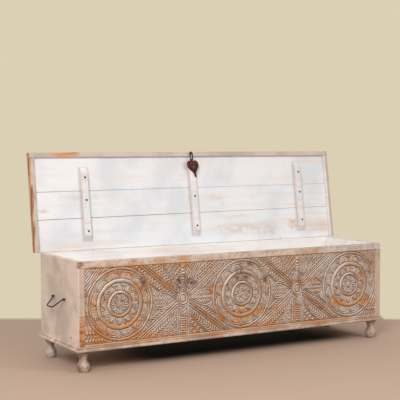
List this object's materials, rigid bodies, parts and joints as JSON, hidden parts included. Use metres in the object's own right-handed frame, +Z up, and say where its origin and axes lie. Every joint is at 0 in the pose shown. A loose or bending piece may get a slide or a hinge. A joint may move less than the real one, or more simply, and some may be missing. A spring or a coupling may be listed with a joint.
{
  "type": "damchiya chest",
  "caption": "Long low carved wooden dowry chest on turned feet, with its lid open on strap hinges, a leaf-shaped hasp and a drop handle at each end.",
  "frame": {"origin": "on the floor, under the middle of the case's footprint", "axes": "+X along the carved front, -Y out of the front, +Z up"},
  "size_m": [1.701, 0.5193, 0.9108],
  "materials": {
    "limewashed_wood": "greyish whitewash rubbed back to orange-brown wood on the carving's edges",
    "white_washed_wood": "matt white wash with faint tan streaks",
    "dark_iron": "dark forged iron, lightly rusted"
  },
  "bodies": {
    "case": {"left_end_board": "limewashed_wood", "right_end_board": "limewashed_wood", "back_lower_board": "limewashed_wood", "back_upper_board": "limewashed_wood", "front_top_rail": "limewashed_wood", "front_lower_board": "limewashed_wood", "front_middle_board": "limewashed_wood", "front_upper_board": "limewashed_wood", "floor_bearer_left_end": "limewashed_wood", "floor_bearer_left": "limewashed_wood", "floor_bearer_right": "limewashed_wood", "floor_bearer_right_end": "limewashed_wood", "floor_board_front": "white_washed_wood", "floor_board_middle": "white_washed_wood", "floor_board_back": "white_washed_wood", "plinth_front": "limewashed_wood", "plinth_right": "limewashed_wood", "plinth_back": "limewashed_wood", "plinth_left": "limewashed_wood", "foot_front_left": "limewashed_wood", "corner_block_front_left": "limewashed_wood", "foot_front_right": "limewashed_wood", "corner_block_front_right": "limewashed_wood", "foot_back_left": "limewashed_wood", "corner_block_back_left": "limewashed_wood", "foot_back_right": "limewashed_wood", "corner_block_back_right": "limewashed_wood", "hinge_lower_strap_left": "dark_iron", "hinge_lower_strap_right": "dark_iron", "hinge_pin_left": "dark_iron", "hinge_pin_right": "dark_iron", "floor_nails": "dark_iron", "left_bail_eyes": "dark_iron", "right_bail_eyes": "dark_iron", "lower_hinge_nails": "dark_iron"},
    "lid": {"lid_board_rear": "white_washed_wood", "lid_board_middle": "white_washed_wood", "lid_board_front": "white_washed_wood", "lid_rim_front": "limewashed_wood", "lid_rim_left": "limewashed_wood", "lid_rim_right": "limewashed_wood", "lid_batten_left": "white_washed_wood", "lid_batten_centre": "white_washed_wood", "lid_batten_right": "white_washed_wood", "hinge_upper_strap_left": "dark_iron", "hinge_upper_strap_right": "dark_iron", "upper_hinge_nails": "dark_iron", "batten_screws": "dark_iron", "lid_eye": "dark_iron"},
    "link": {"hasp_link": "dark_iron"},
    "hasp": {"hasp_plate": "dark_iron"},
    "left_bail_body": {"left_bail": "dark_iron"},
    "right_bail_body": {"right_bail": "dark_iron"}
  },
  "joints": [
    {"name": "lid_hinge", "type": "hinge", "parent": "case", "child": "lid", "pos_m": [0, 0.2115, 0.4655], "axis": [1, 0, 0], "range_deg": [0, 99]},
    {"name": "link_swing", "type": "hinge", "parent": "lid", "child": "link", "pos_m": [0, 0.25931, 0.90544], "axis": [1, 0, 0], "range_deg": [-90, 0]},
    {"name": "hasp_swing", "type": "hinge", "parent": "link", "child": "hasp", "pos_m": [0, 0.25368, 0.86988], "axis": [1, 0, 0], "range_deg": [-100, 0]},
    {"name": "left_bail_swing", "type": "hinge", "parent": "case", "child": "left_bail_body", "pos_m": [-0.808, -0.008, 0.293], "axis": [0, 1, 0], "range_deg": [-50, 130]},
    {"name": "right_bail_swing", "type": "hinge", "parent": "case", "child": "right_bail_body", "pos_m": [0.808, -0.008, 0.293], "axis": [0, -1, 0], "range_deg": [-50, 130]}
  ],
  "couplings": [
    {"joint": "link_swing", "follows": "lid_hinge", "ratio": -0.909}
  ]
}
